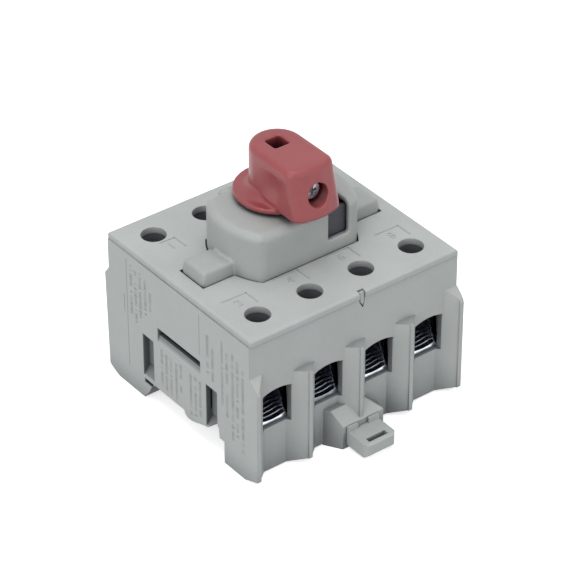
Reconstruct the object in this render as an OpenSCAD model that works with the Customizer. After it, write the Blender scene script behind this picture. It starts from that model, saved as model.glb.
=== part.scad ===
/* [Poles] */
// Number of poles, one bay on the front and one on the rear for each
poles = 4; // [4:1:4]

/* [Housing] */
// Overall width along the rail
body_w = 70; // [69.6:0.1:71]
// Distance from the rail seat up to the top face of the cover
cover_top = 39.6; // [39.4:0.1:41]
// Thickness of the cover plate
cover_t = 2; // [1.8:0.1:2.2]
// Distance from the centre line to the upper front and rear walls
wall_y = 32.2; // [32:0.1:32.4]
// Distance from the centre line to the faces of the ribs and end walls
rib_y = 35; // [34.8:0.1:35.4]
// Distance from the centre line to the recessed wall of a terminal bay
bay_y = 30.4; // [30.2:0.1:30.6]
// Thickness of the end walls
end_wall_t = 1.6; // [1.4:0.1:1.8]
// Width by which an end of the body reaches past the outer pole
end_margin = 0.7; // [0.6:0.05:0.8]
// Thickness of the front and rear walls in front of the clamps
bay_wall_t = 0.8; // [0.7:0.05:1]
// Radius of the upper edges of the cover
cover_edge_r = 0.8; // [0.6:0.1:1]
// Depth of the body below the rail seat
foot_depth = 6.7; // [6.5:0.1:6.9]
// Radius of the arch over a wire entry
arch_r = 12; // [11:0.5:13]
// Height of the top of the arch above the rail seat
arch_top = 20.8; // [20.6:0.1:21.2]
// Width of the nose of a rib
rib_nose_w = 1.2; // [1:0.1:1.6]
// Width of the wire entry in the recessed wall
entry_w = 7.3; // [7:0.1:7.5]
// Height of the lower edge of a wire entry above the rail seat
entry_z = 7.9; // [7.6:0.1:8.1]

/* [Screwdriver holes] */
// Diameter of the screwdriver holes in the cover
driver_d = 7.1; // [6.8:0.1:7.3]
// Distance from the centre line to a row of screwdriver holes
driver_y = 23.2; // [23:0.1:23.4]

/* [Neck] */
// Radius of the round ends of the neck
neck_r = 20.2; // [20:0.1:20.6]
// Width of the neck across its flat front and rear
neck_w = 25; // [24.8:0.1:25.4]
// Height of the neck above the cover
neck_h = 14; // [13.8:0.1:14.4]
// Wall of the neck
neck_t = 1.7; // [1.6:0.1:1.9]
// Distance from the tip of a side ear to the end of the body
ear_inset = 5.2; // [5:0.1:5.4]
// Width of a side ear
ear_w = 10; // [9.6:0.1:10.2]
// Height of a side ear above the cover
ear_h = 4; // [3.8:0.1:4.4]
// Width of the locking slot in the front of the neck
slot_w = 6.8; // [6.4:0.1:7]
// Distance from the centre line to the near edge of the locking slot
slot_x = 6.2; // [6:0.1:6.4]
// Height of the bottom of the locking slot above the cover
slot_h = 3.9; // [3.7:0.1:4.3]

// Radius of the upper edge round the ends of the neck
neck_edge_r = 2.2; // [2:0.1:2.4]
// Radius of the upper edges along the front and rear of the neck
neck_front_r = 2.6; // [2.4:0.1:2.8]

/* [Handle] */
// Distance of the turning axis behind the middle of the body
axis_y = 2; // [1.9:0.05:2.1]
// Radius of the base flange of the handle
flange_r = 12; // [11.8:0.1:12.2]
// Thickness of the base flange
flange_t = 1.5; // [1.4:0.1:1.6]
// Width of the grip
grip_w = 15.2; // [14.8:0.1:15.6]
// Reach of the grip from the axis to its nose
grip_l = 19.5; // [19.3:0.1:19.8]
// Height of the grip above its flange
grip_h = 14; // [13.8:0.1:14.4]
// Lean of the nose of the grip, over its height
nose_lean = 3; // [2.8:0.1:3.2]
// Radius of the edge round the top of the grip
grip_edge_r = 1.8; // [1.6:0.1:2]
// Width of the square socket in the top of the grip
socket_w = 4.9; // [4.7:0.1:5]
// Diameter of the recess for the grip screw
screw_recess_d = 6.5; // [6.3:0.1:6.7]
// Gap between the neck and the flange of the handle
handle_gap = 1; // [0.9:0.05:1.1]

/* [Mechanism] */
// Width of the square shaft
shaft_w = 6; // [5.9:0.05:6.1]
// Sideways travel of the contact carrier for a quarter turn
carrier_travel = 6; // [5.9:0.1:6.1]
// Diameter of the follower pin on the contact carrier
pin_d = 3; // [2.9:0.05:3.1]
// Radius of the spiral groove at its inner end
groove_r = 6.2; // [6.1:0.1:6.3]
// Radius of the spiral cam
cam_r = 14.2; // [14:0.1:14.3]
// Radius of the index drum
drum_r = 8.6; // [8.4:0.1:8.7]
// Play between the drum and the frame round it
drum_play = 0.7; // [0.6:0.05:0.8]
// Diameter of the wire of the snap spring
snap_wire_d = 1; // [0.9:0.05:1.1]

/* [Terminals] */
// Width of a clamp cage
cage_w = 10; // [9.8:0.1:10.2]
// Sheet thickness of a clamp cage
cage_t = 1.2; // [1.1:0.1:1.3]
// Radius of the hollow in the lower jaw of a clamp cage
jaw_r = 8; // [7.5:0.1:8.5]
// Travel of a clamp cage between open and closed
clamp_travel = 6.4; // [6.2:0.1:6.6]
// Diameter of the thread of a clamp screw
clamp_screw_d = 4; // [3.9:0.05:4.1]
// Diameter of the head of a clamp screw
clamp_head_d = 6.6; // [6.4:0.1:6.7]
// Height of the top of a copper strip above the rail seat
strip_z = 20; // [19.8:0.1:20.2]
// Thickness of a copper strip
strip_t = 1.2; // [1.1:0.1:1.3]
// Width of a copper strip
strip_w = 6.4; // [6.2:0.1:6.6]
// Distance from the centre line to the middle of a contact tip
tip_y = 7; // [6.9:0.1:7.1]

/* [Rail clip] */
// Width of the rail clip
clip_w = 10.6; // [10.4:0.1:10.8]
// Thickness of the rail clip
clip_t = 4.3; // [4.2:0.05:4.4]
// Distance from the centre line to the front end of the rail clip
clip_y = 43.6; // [43.4:0.1:43.8]
// Travel of the rail clip
clip_travel = 3.5; // [3.4:0.1:3.6]

/* [Fits] */
// Running gap on each side of sliding and turning pieces
running_gap = 0.1; // [0.08:0.01:0.12]
// Loose gap round moulded pieces that only drop in
loose_gap = 0.3; // [0.25:0.05:0.35]

/* [Hidden] */
$fn = 64;
eps = 0.01;
housing_grey = "#b0b4b2";
hood_grey = "#b8bab7";
handle_red = "#a85a5c";
steel = "#b9bcc0";
copper = "#b87a4b";
dark = "#33363b";

side_gap = 0.35;
cover_x = body_w / 2 - side_gap;
seam_z = cover_top - cover_t;
upper_wall_y = wall_y - 0.5;
rib_top = seam_z - 13.6;
neck_top = cover_top + neck_h;
foot_z = -foot_depth;
inner_x = body_w / 2 - end_wall_t;
ear_x = body_w / 2 - ear_inset;
pole_pitch = (body_w - 2 * end_margin) / poles;

// Cavity for the mechanism between the two rows of terminals
cavity_y = 14;
cavity_floor = 6;
ledge_y = axis_y + cam_r + loose_gap + 0.1;
frame_y = ledge_y + 1.2;
// Chamber behind each bay, which the clamp slides in
chamber_w = cage_w + 2 * running_gap;
chamber_front = bay_y - bay_wall_t;
clamp_y = driver_y;
chamber_rear = frame_y + 0.1;
chamber_floor = entry_z;
cage_z = chamber_floor + loose_gap;
cage_top_z = strip_z + 1;
cage_top_t = 3;
cage_top = cage_top_z + cage_top_t;
chamber_top = cage_top + clamp_travel + 2 * loose_gap;
strip_under = strip_z - strip_t;

// Levels of the mechanism, from the copper strips upwards
tip_t = 0.8;
bridge_t = 1.4;
bridge_w = 3;
tip_w = 3;
// The contacts lie off the pole centre, so that the carrier has room for its travel
contact_x = -1;
bridge_z = strip_z + tip_t;
carrier_z = bridge_z + bridge_t + 2.2;
carrier_t = 2.4;
carrier_top = carrier_z + carrier_t;
cam_z = carrier_top + loose_gap;
cam_t = 4;
groove_depth = 2.8;
frame_z = cam_z + cam_t + running_gap;
frame_t = 2;
drum_z = frame_z + frame_t + running_gap;
drum_top = neck_top - neck_t - loose_gap;
flange_z = neck_top + handle_gap;
grip_z = flange_z + flange_t;
grip_top = grip_z + grip_h;
shaft_top = grip_top - 5.6;
hub_r = 6.5;

function pole_x(p) = (p - (poles + 1) / 2) * pole_pitch;

// Places a child at the terminal of a pole, on the front or turned round to the rear
module at_terminal(p, side) {
    rear = side == "rear";
    translate([pole_x(p), 0, 0])
        rotate([0, 0, rear ? 180 : 0])
            children();
}

module box(x0, x1, y0, y1, z0, z1) {
    translate([x0, y0, z0])
        cube([x1 - x0, y1 - y0, z1 - z0]);
}

// Extrudes an outline drawn in Y and Z along X
module along_x(x0, x1) {
    translate([x0, 0, 0])
        rotate([90, 0, 90])
            linear_extrude(x1 - x0)
                children();
}

// Extrudes an outline drawn in X and Z along Y
module along_y(y0, y1) {
    translate([0, y1, 0])
        rotate([90, 0, 0])
            linear_extrude(y1 - y0)
                children();
}

// Rectangle with its two upper corners rounded
module round_top(x0, x1, z0, z1, r) {
    translate([x0, z0])
        square([x1 - x0, z1 - r - z0]);
    translate([x0 + r, z0])
        square([x1 - x0 - 2 * r, z1 - z0]);
    for (x = [x0 + r, x1 - r])
        translate([x, z1 - r])
            circle(r, $fn = 48);
}

// Block with its four upper edges rounded
module soft_box(x0, x1, y0, y1, z0, z1, r) {
    intersection() {
        along_x(x0, x1)
            round_top(y0, y1, z0, z1, r);
        along_y(y0, y1)
            round_top(x0, x1, z0, z1, r);
    }
}

// Side outline of the housing: shoulders, foot, rail hook and the undercut for the clip
module housing_side() {
    shoulder = seam_z - 10;
    polygon([
        [-upper_wall_y, seam_z],
        [-upper_wall_y, shoulder],
        [-wall_y - 0.2, shoulder - 0.5],
        [-rib_y + 1.3, shoulder - 1.7],
        [-rib_y + 0.4, shoulder - 2.8],
        [-rib_y, shoulder - 3.8],
        [-rib_y, foot_z + 2.1],
        [-rib_y + 3.4, foot_z + 0.9],
        [-rib_y + 5.5, foot_z],
        [-rail_hook_y, foot_z],
        [-rail_hook_y, 0.3],
        [-18.3, 0.3],
        [-18, 3.5],
        [-17.2, 3.9],
        [-15.4, 2.6],
        [-13.1, 0.7],
        [-10.8, 0.1],
        [-8.1, -0.9],
        [-5.8, -1.6],
        [-3.9, -1.7],
        [-2.8, -1.1],
        [-2.2, 0],
        [11.3, 0],
        [13.2, -1.9],
        [13.8, -3.4],
        [16.3, foot_z],
        [28.2, foot_z],
        [wall_y - 0.2, foot_z + 1.5],
        [wall_y + 0.6, foot_z + 2.1],
        [wall_y + 1.4, shoulder - 2],
        [upper_wall_y, shoulder + 0.6],
        [upper_wall_y, seam_z]
    ]);
}

// Front outline of the space under an arch, down to the underside of the body
module bay_arch() {
    half = pole_pitch / 2;
    intersection() {
        translate([-half, foot_z - 5])
            square([2 * half, arch_top - foot_z + 5]);
        union() {
            translate([0, arch_top - arch_r])
                circle(arch_r, $fn = 96);
            translate([-half, foot_z - 5])
                square([2 * half, arch_top - arch_r - foot_z + 5]);
        }
    }
}

// Plan of a bay: wide at the noses of the ribs and narrow at the recessed wall
module bay_plan() {
    front_half = (pole_pitch - rib_nose_w) / 2;
    back_half = entry_w / 2;
    polygon([
        [-front_half, -rib_y - 1],
        [-front_half, -rib_y + 0.5],
        [-back_half, -bay_y],
        [back_half, -bay_y],
        [front_half, -rib_y + 0.5],
        [front_half, -rib_y - 1]
    ]);
}

module bay_cut() {
    intersection() {
        translate([0, 0, foot_z - 4])
            linear_extrude(arch_top - foot_z + 5)
                bay_plan();
        along_y(-rib_y - 2, -bay_y)
            bay_arch();
    }
    // wall over the arch, flush with the upper wall between the ribs
    intersection() {
        translate([0, 0, foot_z - 4])
            linear_extrude(seam_z - foot_z)
                bay_plan();
        box(-pole_pitch, pole_pitch, -rib_y - 2, -upper_wall_y, foot_z - 4, seam_z);
    }
    // wire entry through the recessed wall
    box(-entry_w / 2, entry_w / 2, -bay_y - eps, -chamber_front + eps, entry_z, arch_top);
}

module terminal_chamber() {
    box(-chamber_w / 2, chamber_w / 2, -chamber_front, -chamber_rear, chamber_floor, chamber_top);
    // bore for the screw head, open to the cover
    translate([0, -clamp_y, chamber_top - eps])
        cylinder(d = driver_d + 2 * loose_gap, h = seam_z - chamber_top + 1);
    // way for the copper strip into the mechanism
    box(-strip_w / 2 - running_gap, strip_w / 2 + running_gap,
        -chamber_rear - eps, -cavity_y + eps,
        strip_under - running_gap, strip_z + running_gap);
}

// Block on the front wall that the rail clip slides through, with a sloping top
module clip_guide() {
    side = 9.5;
    top = foot_z + 14.4;
    left_top = foot_z + 11.9;
    front = -rib_y - 0.3;
    front_top = foot_z + 7.4;
    front_half = 6.5;
    intersection() {
        along_x(-side, side)
            polygon([[-bay_y + 1, top], [-bay_y, top], [front, front_top], [front, foot_z], [-bay_y + 1, foot_z]]);
        translate([0, 0, foot_z])
            linear_extrude(top - foot_z)
                polygon([[-side, -bay_y + 1], [side, -bay_y + 1], [side, -bay_y], [front_half + 0.8, front],
                         [-front_half, front], [-side, -bay_y]]);
        along_y(front, -bay_y + 1)
            polygon([[-side, foot_z], [-side, left_top], [0, left_top], [0, top], [side, foot_z + 5.5],
                     [side, foot_z]]);
    }
}

// Slots in an end wall that open into the first and last arc chamber
module side_slots() {
    outer = -body_w / 2 - 1;
    inner = -body_w / 2 + 2.6;
    for (y = [11.4, -17.4])
        along_y(y, y + 5)
            polygon([[outer, 14.8], [inner, 14.8], [inner, 4], [-body_w / 2, 0.8], [outer, 0.8]]);
    along_y(-10, 9.3)
        polygon([[outer, 20.7], [inner, 20.7], [inner, 18.3], [-body_w / 2 + 0.6, 18.2],
                 [-body_w / 2, 15.8], [outer, 15.8]]);
}

// Space in which the contacts of a pole open, between two partition walls
module arc_chamber(p) {
    x0 = p == 1 ? -inner_x : pole_x(p) - pole_pitch / 2 + partition_t / 2;
    x1 = p == poles ? inner_x : pole_x(p) + pole_pitch / 2 - partition_t / 2;
    box(x0, x1, -cavity_y, cavity_y, cavity_floor, carrier_z);
}

partition_t = 1;

// Notch for a screwdriver over the latch of the cover
module latch_notch() {
    along_y(-wall_y - 1, -wall_y + 1.6)
        polygon([[1, cover_top + 1], [3.2, cover_top + 1], [3, seam_z - 1.5], [2.6, seam_z - 3.3], [1.4, seam_z - 1.5]]);
}

module base_housing() {
    color(housing_grey)
    difference() {
        union() {
            difference() {
                along_x(-body_w / 2, body_w / 2)
                    housing_side();
                for (p = [1:poles], side = ["front", "rear"])
                    at_terminal(p, side)
                        bay_cut();
                // flat tops of the ribs between the bays
                for (s = [-1, 1])
                    scale([1, s, 1])
                        box(pole_x(1), pole_x(poles), upper_wall_y, rib_y + 2, rib_top, seam_z);
            }
            clip_guide();
        }
        for (p = [1:poles], side = ["front", "rear"])
            at_terminal(p, side)
                terminal_chamber();
        for (p = [1:poles])
            arc_chamber(p);
        // mechanism cavity, stepped for the contact carrier and the mechanism frame
        box(-inner_x, inner_x, -ledge_y, ledge_y, carrier_z - running_gap, seam_z + 1);
        box(-inner_x, inner_x, -frame_y, frame_y, frame_z, seam_z + 1);
        // groove behind the fixed rail hook, and room for the rail between the hooks
        box(-body_w / 2 - 1, body_w / 2 + 1, 12, 15.9, -1.3, 0);
        // channel of the rail clip, with a rib between the clip's two ears
        box(-clip_w / 2 - running_gap, clip_w / 2 + running_gap, -50, -17.9, clip_z - running_gap,
            clip_z + clip_t + running_gap);
        for (s = [-1, 1])
            translate([s * (clip_w / 2 + ear_inner) / 2, 0, 0])
                box(-clip_ear_w / 2 - running_gap, clip_ear_w / 2 + running_gap, -50, -29,
                    clip_z + clip_t - 1, clip_z + clip_t + clip_ear_h + running_gap);
        side_slots();
        mirror([1, 0, 0])
            side_slots();
        latch_notch();
    }
}

rail_hook_y = 20.4;
clip_z = foot_z + 1.2;
clip_ear_h = 1.7;
ear_inner = 1.8;
clip_ear_w = clip_w / 2 - ear_inner;

module top_cover() {
    ear_gap = 0.35;
    color(housing_grey)
    difference() {
        union() {
            soft_box(-cover_x, cover_x, -wall_y + 0.1, wall_y - 0.3, seam_z, cover_top, cover_edge_r);
            // rim that locates the cover in the mechanism cavity
            box(-inner_x + loose_gap, inner_x - loose_gap, -frame_y + loose_gap, frame_y - loose_gap,
                seam_z - rim_h, seam_z + eps);
        }
        for (x = [1:poles], s = [-1, 1])
            translate([pole_x(x), s * driver_y, seam_z - 1])
                cylinder(d = driver_d, h = cover_t + 2);
        // window for the neck and its ears
        translate([0, 0, seam_z - 2])
            linear_extrude(cover_t + 3)
                neck_plan(ear_gap);
        box(-ear_x - ear_gap, ear_x + ear_gap, -ear_w / 2 - ear_gap, ear_w / 2 + ear_gap,
            seam_z - 2, cover_top + 1);
        // recess for the flange of the neck
        hood_flange(running_gap, seam_z - 2);
        latch_notch();
    }
}

rim_h = 1.2;
hood_flange_w = 1.2;

// Flange that holds the neck under the cover
module hood_flange(grow, z0) {
    reach_x = ear_x + hood_flange_w + grow;
    reach_y = neck_rear + hood_flange_w + grow;
    box(-reach_x, reach_x, -reach_y, reach_y, z0, seam_z - running_gap + grow);
}

// Plan of the neck: a disc with its front and rear cut flat
module neck_plan(grow) {
    intersection() {
        circle(neck_r + grow, $fn = 128);
        square([2 * neck_r + 2, neck_w + 2 * grow], center = true);
    }
    // pad across the rear
    translate([-neck_pad_w / 2 - grow, 0])
        square([neck_pad_w + 2 * grow, neck_rear + grow]);
}

neck_pad_w = 22;
neck_liner = neck_t + running_gap;
liner_wall = 1.1;
neck_rear = axis_y + drum_r + drum_play + liner_wall + neck_liner;

// Neck as a round disc cut flat at the front and rear, with its upper edges rounded
module neck_block(z0) {
    intersection() {
        rotate_extrude($fn = 128)
            intersection() {
                round_top(-neck_r, neck_r, z0, neck_top, neck_edge_r);
                translate([0, z0])
                    square([neck_r, neck_top - z0]);
            }
        along_x(-neck_r, neck_r)
            round_top(-neck_w / 2, neck_w / 2, z0, neck_top, neck_front_r);
    }
    soft_box(-neck_pad_w / 2, neck_pad_w / 2, 0, neck_rear, z0, neck_top, neck_edge_r);
}

ear_corner_r = 1.2;

// Ears at the two ends of the neck, with leaning ends and rear
module neck_ears(z0) {
    top = cover_top + ear_h;
    lean = 1.6;
    intersection() {
        along_x(-ear_x, ear_x)
            polygon([[-ear_w / 2, z0], [-ear_w / 2, cover_top], [-ear_w / 2 + 0.3, top - 0.5],
                     [-ear_w / 2 + 0.8, top], [ear_w / 2 - 2.6, top], [ear_w / 2 - 2, top - 0.5],
                     [ear_w / 2, cover_top], [ear_w / 2, z0]]);
        along_y(-ear_w, ear_w)
            polygon([[-ear_x, z0], [-ear_x, cover_top], [-ear_x + lean - 0.3, top - 0.7], [-ear_x + lean + 0.4, top],
                     [ear_x - lean - 0.4, top], [ear_x - lean + 0.3, top - 0.7], [ear_x, cover_top], [ear_x, z0]]);
        translate([0, 0, z0])
            linear_extrude(top - z0)
                union() {
                    square([2 * ear_x, ear_w - 2 * ear_corner_r], center = true);
                    square([2 * (ear_x - ear_corner_r), ear_w], center = true);
                    for (x = [-1, 1], y = [-1, 1])
                        translate([x * (ear_x - ear_corner_r), y * (ear_w / 2 - ear_corner_r)])
                            circle(ear_corner_r, $fn = 32);
                }
    }
}

module mechanism_hood() {
    inside_top = drum_top + loose_gap;
    slot_round = slot_w / 2;
    slot_back = -neck_w / 2 + 8;
    color(hood_grey)
    difference() {
        union() {
            neck_block(seam_z - rim_h);
            neck_ears(seam_z - rim_h);
            hood_flange(0, seam_z - rim_h);
        }
        translate([0, 0, seam_z - 2])
            linear_extrude(inside_top - seam_z + 2)
                neck_plan(-neck_t);
        // passage for the hub of the drum
        translate([0, axis_y, inside_top - 1])
            cylinder(r = hub_r + running_gap, h = neck_top - inside_top + 2);
        // locking slot: down the front wall, and back over the top to a round end
        box(slot_x, slot_x + slot_w, -neck_w / 2 - 1, -neck_w / 2 + neck_t + 1,
            cover_top + slot_h, neck_top + 1);
        box(slot_x, slot_x + slot_w, -neck_w / 2, slot_back, inside_top - 1, neck_top + 1);
        translate([slot_x + slot_round, slot_back, inside_top - 1])
            cylinder(r = slot_round, h = neck_top - inside_top + 2);
    }
}

module handle() {
    nose = grip_l - nose_lean;
    corner = 3;
    bow = 0.7;
    color(handle_red)
    difference() {
        union() {
            translate([0, axis_y, flange_z])
                cylinder(r = flange_r, h = flange_t);
            // fillet from the flange up to the grip
            translate([0, axis_y, grip_z - eps])
                rotate_extrude()
                    difference() {
                        square([grip_w / 2 + flange_fillet, flange_fillet]);
                        translate([grip_w / 2 + flange_fillet, flange_fillet])
                            circle(flange_fillet);
                    }
            translate([0, axis_y, 0])
            hull() {
                translate([0, 0, grip_z - eps])
                    cylinder(d = grip_w, h = grip_h - grip_edge_r, $fn = 48);
                translate([0, 0, grip_top - grip_edge_r])
                    rotate_extrude($fn = 48)
                        translate([grip_w / 2 - grip_edge_r, 0])
                            intersection() {
                                circle(grip_edge_r, $fn = 32);
                                square(grip_edge_r + 1);
                            }
                // nose: slightly bowed, with round corners, leaning back to the top
                for (s = [-1, 1], b = [0, bow]) {
                    x = b == 0 ? corner / 2 : grip_w / 2 - corner;
                    translate([s * x, -grip_l + corner + b, grip_z - eps])
                        cylinder(r = corner, h = 1, $fn = 32);
                    translate([s * x, -nose + corner + b, grip_top - grip_edge_r])
                        rotate_extrude($fn = 32)
                            translate([corner - grip_edge_r, 0])
                                intersection() {
                                    circle(grip_edge_r, $fn = 32);
                                    square(grip_edge_r + 1);
                                }
                }
            }
        }
        // seat of the shaft, and the square socket above it
        translate([0, axis_y, 0]) {
            box(-shaft_w / 2 - running_gap, shaft_w / 2 + running_gap,
                -shaft_w / 2 - running_gap, shaft_w / 2 + running_gap, flange_z - 1, shaft_top + running_gap);
            box(-socket_w / 2, socket_w / 2, -socket_w / 2, socket_w / 2, shaft_top, grip_top + 1);
        }
        // recess and bore of the grip screw
        translate([0, axis_y - grip_l - 1, screw_z])
            rotate([-90, 0, 0]) {
                cylinder(d = screw_recess_d, h = recess_depth + 1);
                cylinder(d = screw_d + 2 * running_gap, h = grip_l);
            }
    }
}

flange_fillet = 2.6;
screw_z = grip_z + 6.2;
recess_depth = 6.8;
screw_d = 3;
screw_head_d = 5;
screw_head_t = 2.2;

module handle_screw() {
    head_y = axis_y - grip_l + recess_depth;
    tip_at = axis_y - shaft_w / 2 - running_gap;
    color(steel)
    translate([0, 0, screw_z])
        rotate([-90, 0, 0])
            difference() {
                union() {
                    translate([0, 0, head_y - screw_head_t])
                        cylinder(d = screw_head_d, h = screw_head_t);
                    translate([0, 0, head_y - eps])
                        cylinder(d = screw_d, h = tip_at - head_y + eps);
                }
                for (a = [0, 90])
                    rotate([0, 0, a])
                        translate([0, 0, head_y - screw_head_t])
                            cube([3.4, 0.8, 2.4], center = true);
            }
}

module drive_shaft() {
    color(steel)
    translate([0, axis_y, 0])
        box(-shaft_w / 2, shaft_w / 2, -shaft_w / 2, shaft_w / 2, cam_z, shaft_top);
}

module shaft_hole(z0, z1) {
    gap = running_gap;
    box(-shaft_w / 2 - gap, shaft_w / 2 + gap, -shaft_w / 2 - gap, shaft_w / 2 + gap, z0, z1);
}

// Drum on the shaft: a hub that runs in the frame and in the neck, with two wide rims
module index_drum() {
    color(dark)
    translate([0, axis_y, 0])
    difference() {
        union() {
            translate([0, 0, frame_z])
                cylinder(r = hub_r, h = flange_z - frame_z - running_gap);
            translate([0, 0, drum_z])
                cylinder(r = drum_r, h = drum_rim_t);
            translate([0, 0, drum_z + drum_upper])
                cylinder(r = drum_r, h = drum_top - drum_z - drum_upper);
        }
        shaft_hole(frame_z - 1, flange_z + 1);
    }
}

drum_rim_t = 2.5;
drum_upper = 9;

// Torsion spring: close turns round the hub, drawn as stacked rings
module snap_spring() {
    turns = 5;
    z0 = drum_z + drum_rim_t;
    color(steel)
    translate([0, axis_y, z0])
        for (i = [0:turns - 1])
            translate([0, 0, snap_wire_d / 2 + i * (snap_wire_d - 2 * eps)])
                rotate_extrude($fn = 48)
                    translate([hub_r + loose_gap + snap_wire_d / 2, 0])
                        circle(d = snap_wire_d, $fn = 16);
}

// Side of the spiral groove at a turn of the cam in degrees, measured square to its centre line
function groove_at(a, side) =
    let (r = groove_r + carrier_travel * a / 90,
         rise = carrier_travel * 2 / PI,
         along = [rise * cos(a) - r * sin(a), -rise * sin(a) - r * cos(a)],
         out = [-along.y, along.x] / norm(along))
    [r * cos(a), -r * sin(a)] + side * out;

// Disc with a spiral groove on its underside, which drives the follower pin
module spiral_cam() {
    turns = [0:2:90];
    back = [90:-2:0];
    half = pin_d / 2 + running_gap;
    color(dark)
    translate([0, axis_y, 0])
    difference() {
        translate([0, 0, cam_z])
            cylinder(r = cam_r, h = cam_t);
        shaft_hole(cam_z - 1, cam_z + cam_t + 1);
        translate([0, 0, cam_z - 1])
            linear_extrude(groove_depth + 1) {
                polygon(concat([for (a = turns) groove_at(a, half)], [for (a = back) groove_at(a, -half)]));
                for (a = [0, 90])
                    translate(groove_at(a, 0))
                        circle(half + eps, $fn = 48);
            }
    }
}

// Dark inner frame: a plate on the ledge of the housing, and a wall that lines the neck
module mechanism_frame() {
    color(dark)
    difference() {
        union() {
            box(-inner_x + loose_gap, inner_x - loose_gap, -frame_y + running_gap, frame_y - running_gap,
                frame_z, frame_z + frame_t);
            translate([0, 0, frame_z])
                linear_extrude(drum_top - frame_z)
                    neck_plan(-neck_liner);
        }
        translate([0, 0, frame_z + frame_t])
            linear_extrude(drum_top - frame_z)
                neck_plan(-neck_liner - liner_wall);
        translate([0, axis_y, frame_z - 1])
            cylinder(r = hub_r + running_gap, h = frame_t + 2);
    }
}

// Slide with the follower pin of the cam, a pocket for each spring and cheeks beside each bridge
module contact_carrier() {
    x0 = pole_x(1) + contact_x - 4;
    x1 = pole_x(poles) + contact_x + bridge_w / 2 + cheek_gap + cheek_t;
    color(dark)
    difference() {
        union() {
            box(x0, x1, -ledge_y + loose_gap, ledge_y - loose_gap, carrier_z, carrier_top);
            translate([groove_r, axis_y, carrier_top - eps])
                cylinder(d = pin_d, h = groove_depth - 0.3);
            for (p = [1:poles], s = [-1, 1])
                translate([pole_x(p) + contact_x + s * (bridge_w / 2 + cheek_gap + cheek_t / 2), 0, 0])
                    box(-cheek_t / 2, cheek_t / 2, -3.5, 3.5, bridge_z + loose_gap, carrier_z + eps);
        }
        for (p = [1:poles])
            translate([pole_x(p) + contact_x, 0, carrier_z - 1])
                cylinder(d = bridge_spring_d + 2 * running_gap, h = 1 + spring_pocket);
    }
}

cheek_gap = 0.1;
cheek_t = 0.9;
bridge_spring_d = 2.8;
bridge_wire_d = 0.5;
spring_pocket = 1.2;

module moving_bridge(p) {
    color(copper)
    translate([pole_x(p) + contact_x, 0, 0])
        box(-bridge_w / 2, bridge_w / 2, -tip_y - 1.6, tip_y + 1.6, bridge_z, bridge_z + bridge_t);
}

// Compression spring between a bridge and its pocket, drawn as stacked rings
module bridge_spring(p) {
    z0 = bridge_z + bridge_t;
    rings = 8;
    step = (carrier_z + spring_pocket - z0 - bridge_wire_d) / (rings - 1);
    color(steel)
    translate([pole_x(p) + contact_x, 0, z0 + bridge_wire_d / 2])
        for (i = [0:rings - 1])
            translate([0, 0, i * step])
                rotate_extrude($fn = 32)
                    translate([(bridge_spring_d - bridge_wire_d) / 2, 0])
                        circle(d = bridge_wire_d, $fn = 16);
}

// Copper strip from the clamp to the contact tip, drawn for the front
module fixed_contact(side) {
    tip_x = side == "rear" ? -contact_x : contact_x;
    color(copper) {
        box(-strip_w / 2, strip_w / 2, -chamber_front + 1, -tip_y + 1.6, strip_under, strip_z);
        translate([tip_x, 0, 0])
            box(-tip_w / 2, tip_w / 2, -tip_y - 1.6, -tip_y + 1.6, strip_z - eps, bridge_z);
    }
}

// Inner outline of a clamp cage: straight sides over a hollow jaw
module cage_window(grow) {
    half = cage_w / 2 - cage_t;
    jaw = cage_z + cage_t - grow;
    rise = jaw_r - sqrt(jaw_r * jaw_r - half * half);
    translate([-half, jaw + rise])
        square([2 * half, cage_top_z - jaw - rise]);
    intersection() {
        translate([0, jaw + jaw_r])
            circle(jaw_r, $fn = 64);
        translate([-half, jaw - 1])
            square([2 * half, rise + 1 + eps]);
    }
}

// Box clamp bent from strip: grooved lower jaw, two sides and a threaded upper plate
module terminal_clamp() {
    y0 = -chamber_front + running_gap;
    y1 = -chamber_rear - running_gap;
    groove_w = 0.5;
    groove_step = 1.6;
    grooves = 6;
    color(steel)
    difference() {
        box(-cage_w / 2, cage_w / 2, y0, y1, cage_z, cage_top);
        along_y(y0 - 1, y1 + 1)
            cage_window(0);
        for (i = [1:grooves])
            along_y(y0 + i * groove_step - groove_w / 2, y0 + i * groove_step + groove_w / 2)
                cage_window(0.3);
        // the upper plate is shorter than the jaw
        for (y = [y0 - 1, y1 - 1.2])
            box(-cage_w, cage_w, y, y + 2.2, cage_top_z, cage_top + 1);
        translate([0, -clamp_y, cage_top_z - 1])
            cylinder(d = clamp_screw_d + 2 * running_gap, h = cage_top_t + 2);
    }
}

// Clamp screw: pan head with a cross and a slot, and a shank that presses on the strip
module terminal_screw() {
    head_z = chamber_top + loose_gap;
    head_t = 3;
    slot_deep = 1.4;
    tip_chamfer = 0.5;
    color(steel)
    translate([0, -clamp_y, 0])
        difference() {
            union() {
                translate([0, 0, head_z])
                    rotate_extrude()
                        intersection() {
                            round_top(-clamp_head_d / 2, clamp_head_d / 2, 0, head_t, 0.7);
                            square([clamp_head_d / 2, head_t]);
                        }
                translate([0, 0, strip_z + running_gap])
                    rotate_extrude()
                        polygon([[0, 0], [clamp_screw_d / 2 - tip_chamfer, 0], [clamp_screw_d / 2, tip_chamfer],
                                 [clamp_screw_d / 2, head_z - strip_z], [0, head_z - strip_z]]);
            }
            translate([0, 0, head_z + head_t - slot_deep / 2])
                cube([clamp_head_d + 1, 1, slot_deep + eps], center = true);
            translate([0, 0, head_z + head_t - slot_deep / 2])
                cube([1.2, 4, slot_deep + eps], center = true);
        }
}

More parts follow.
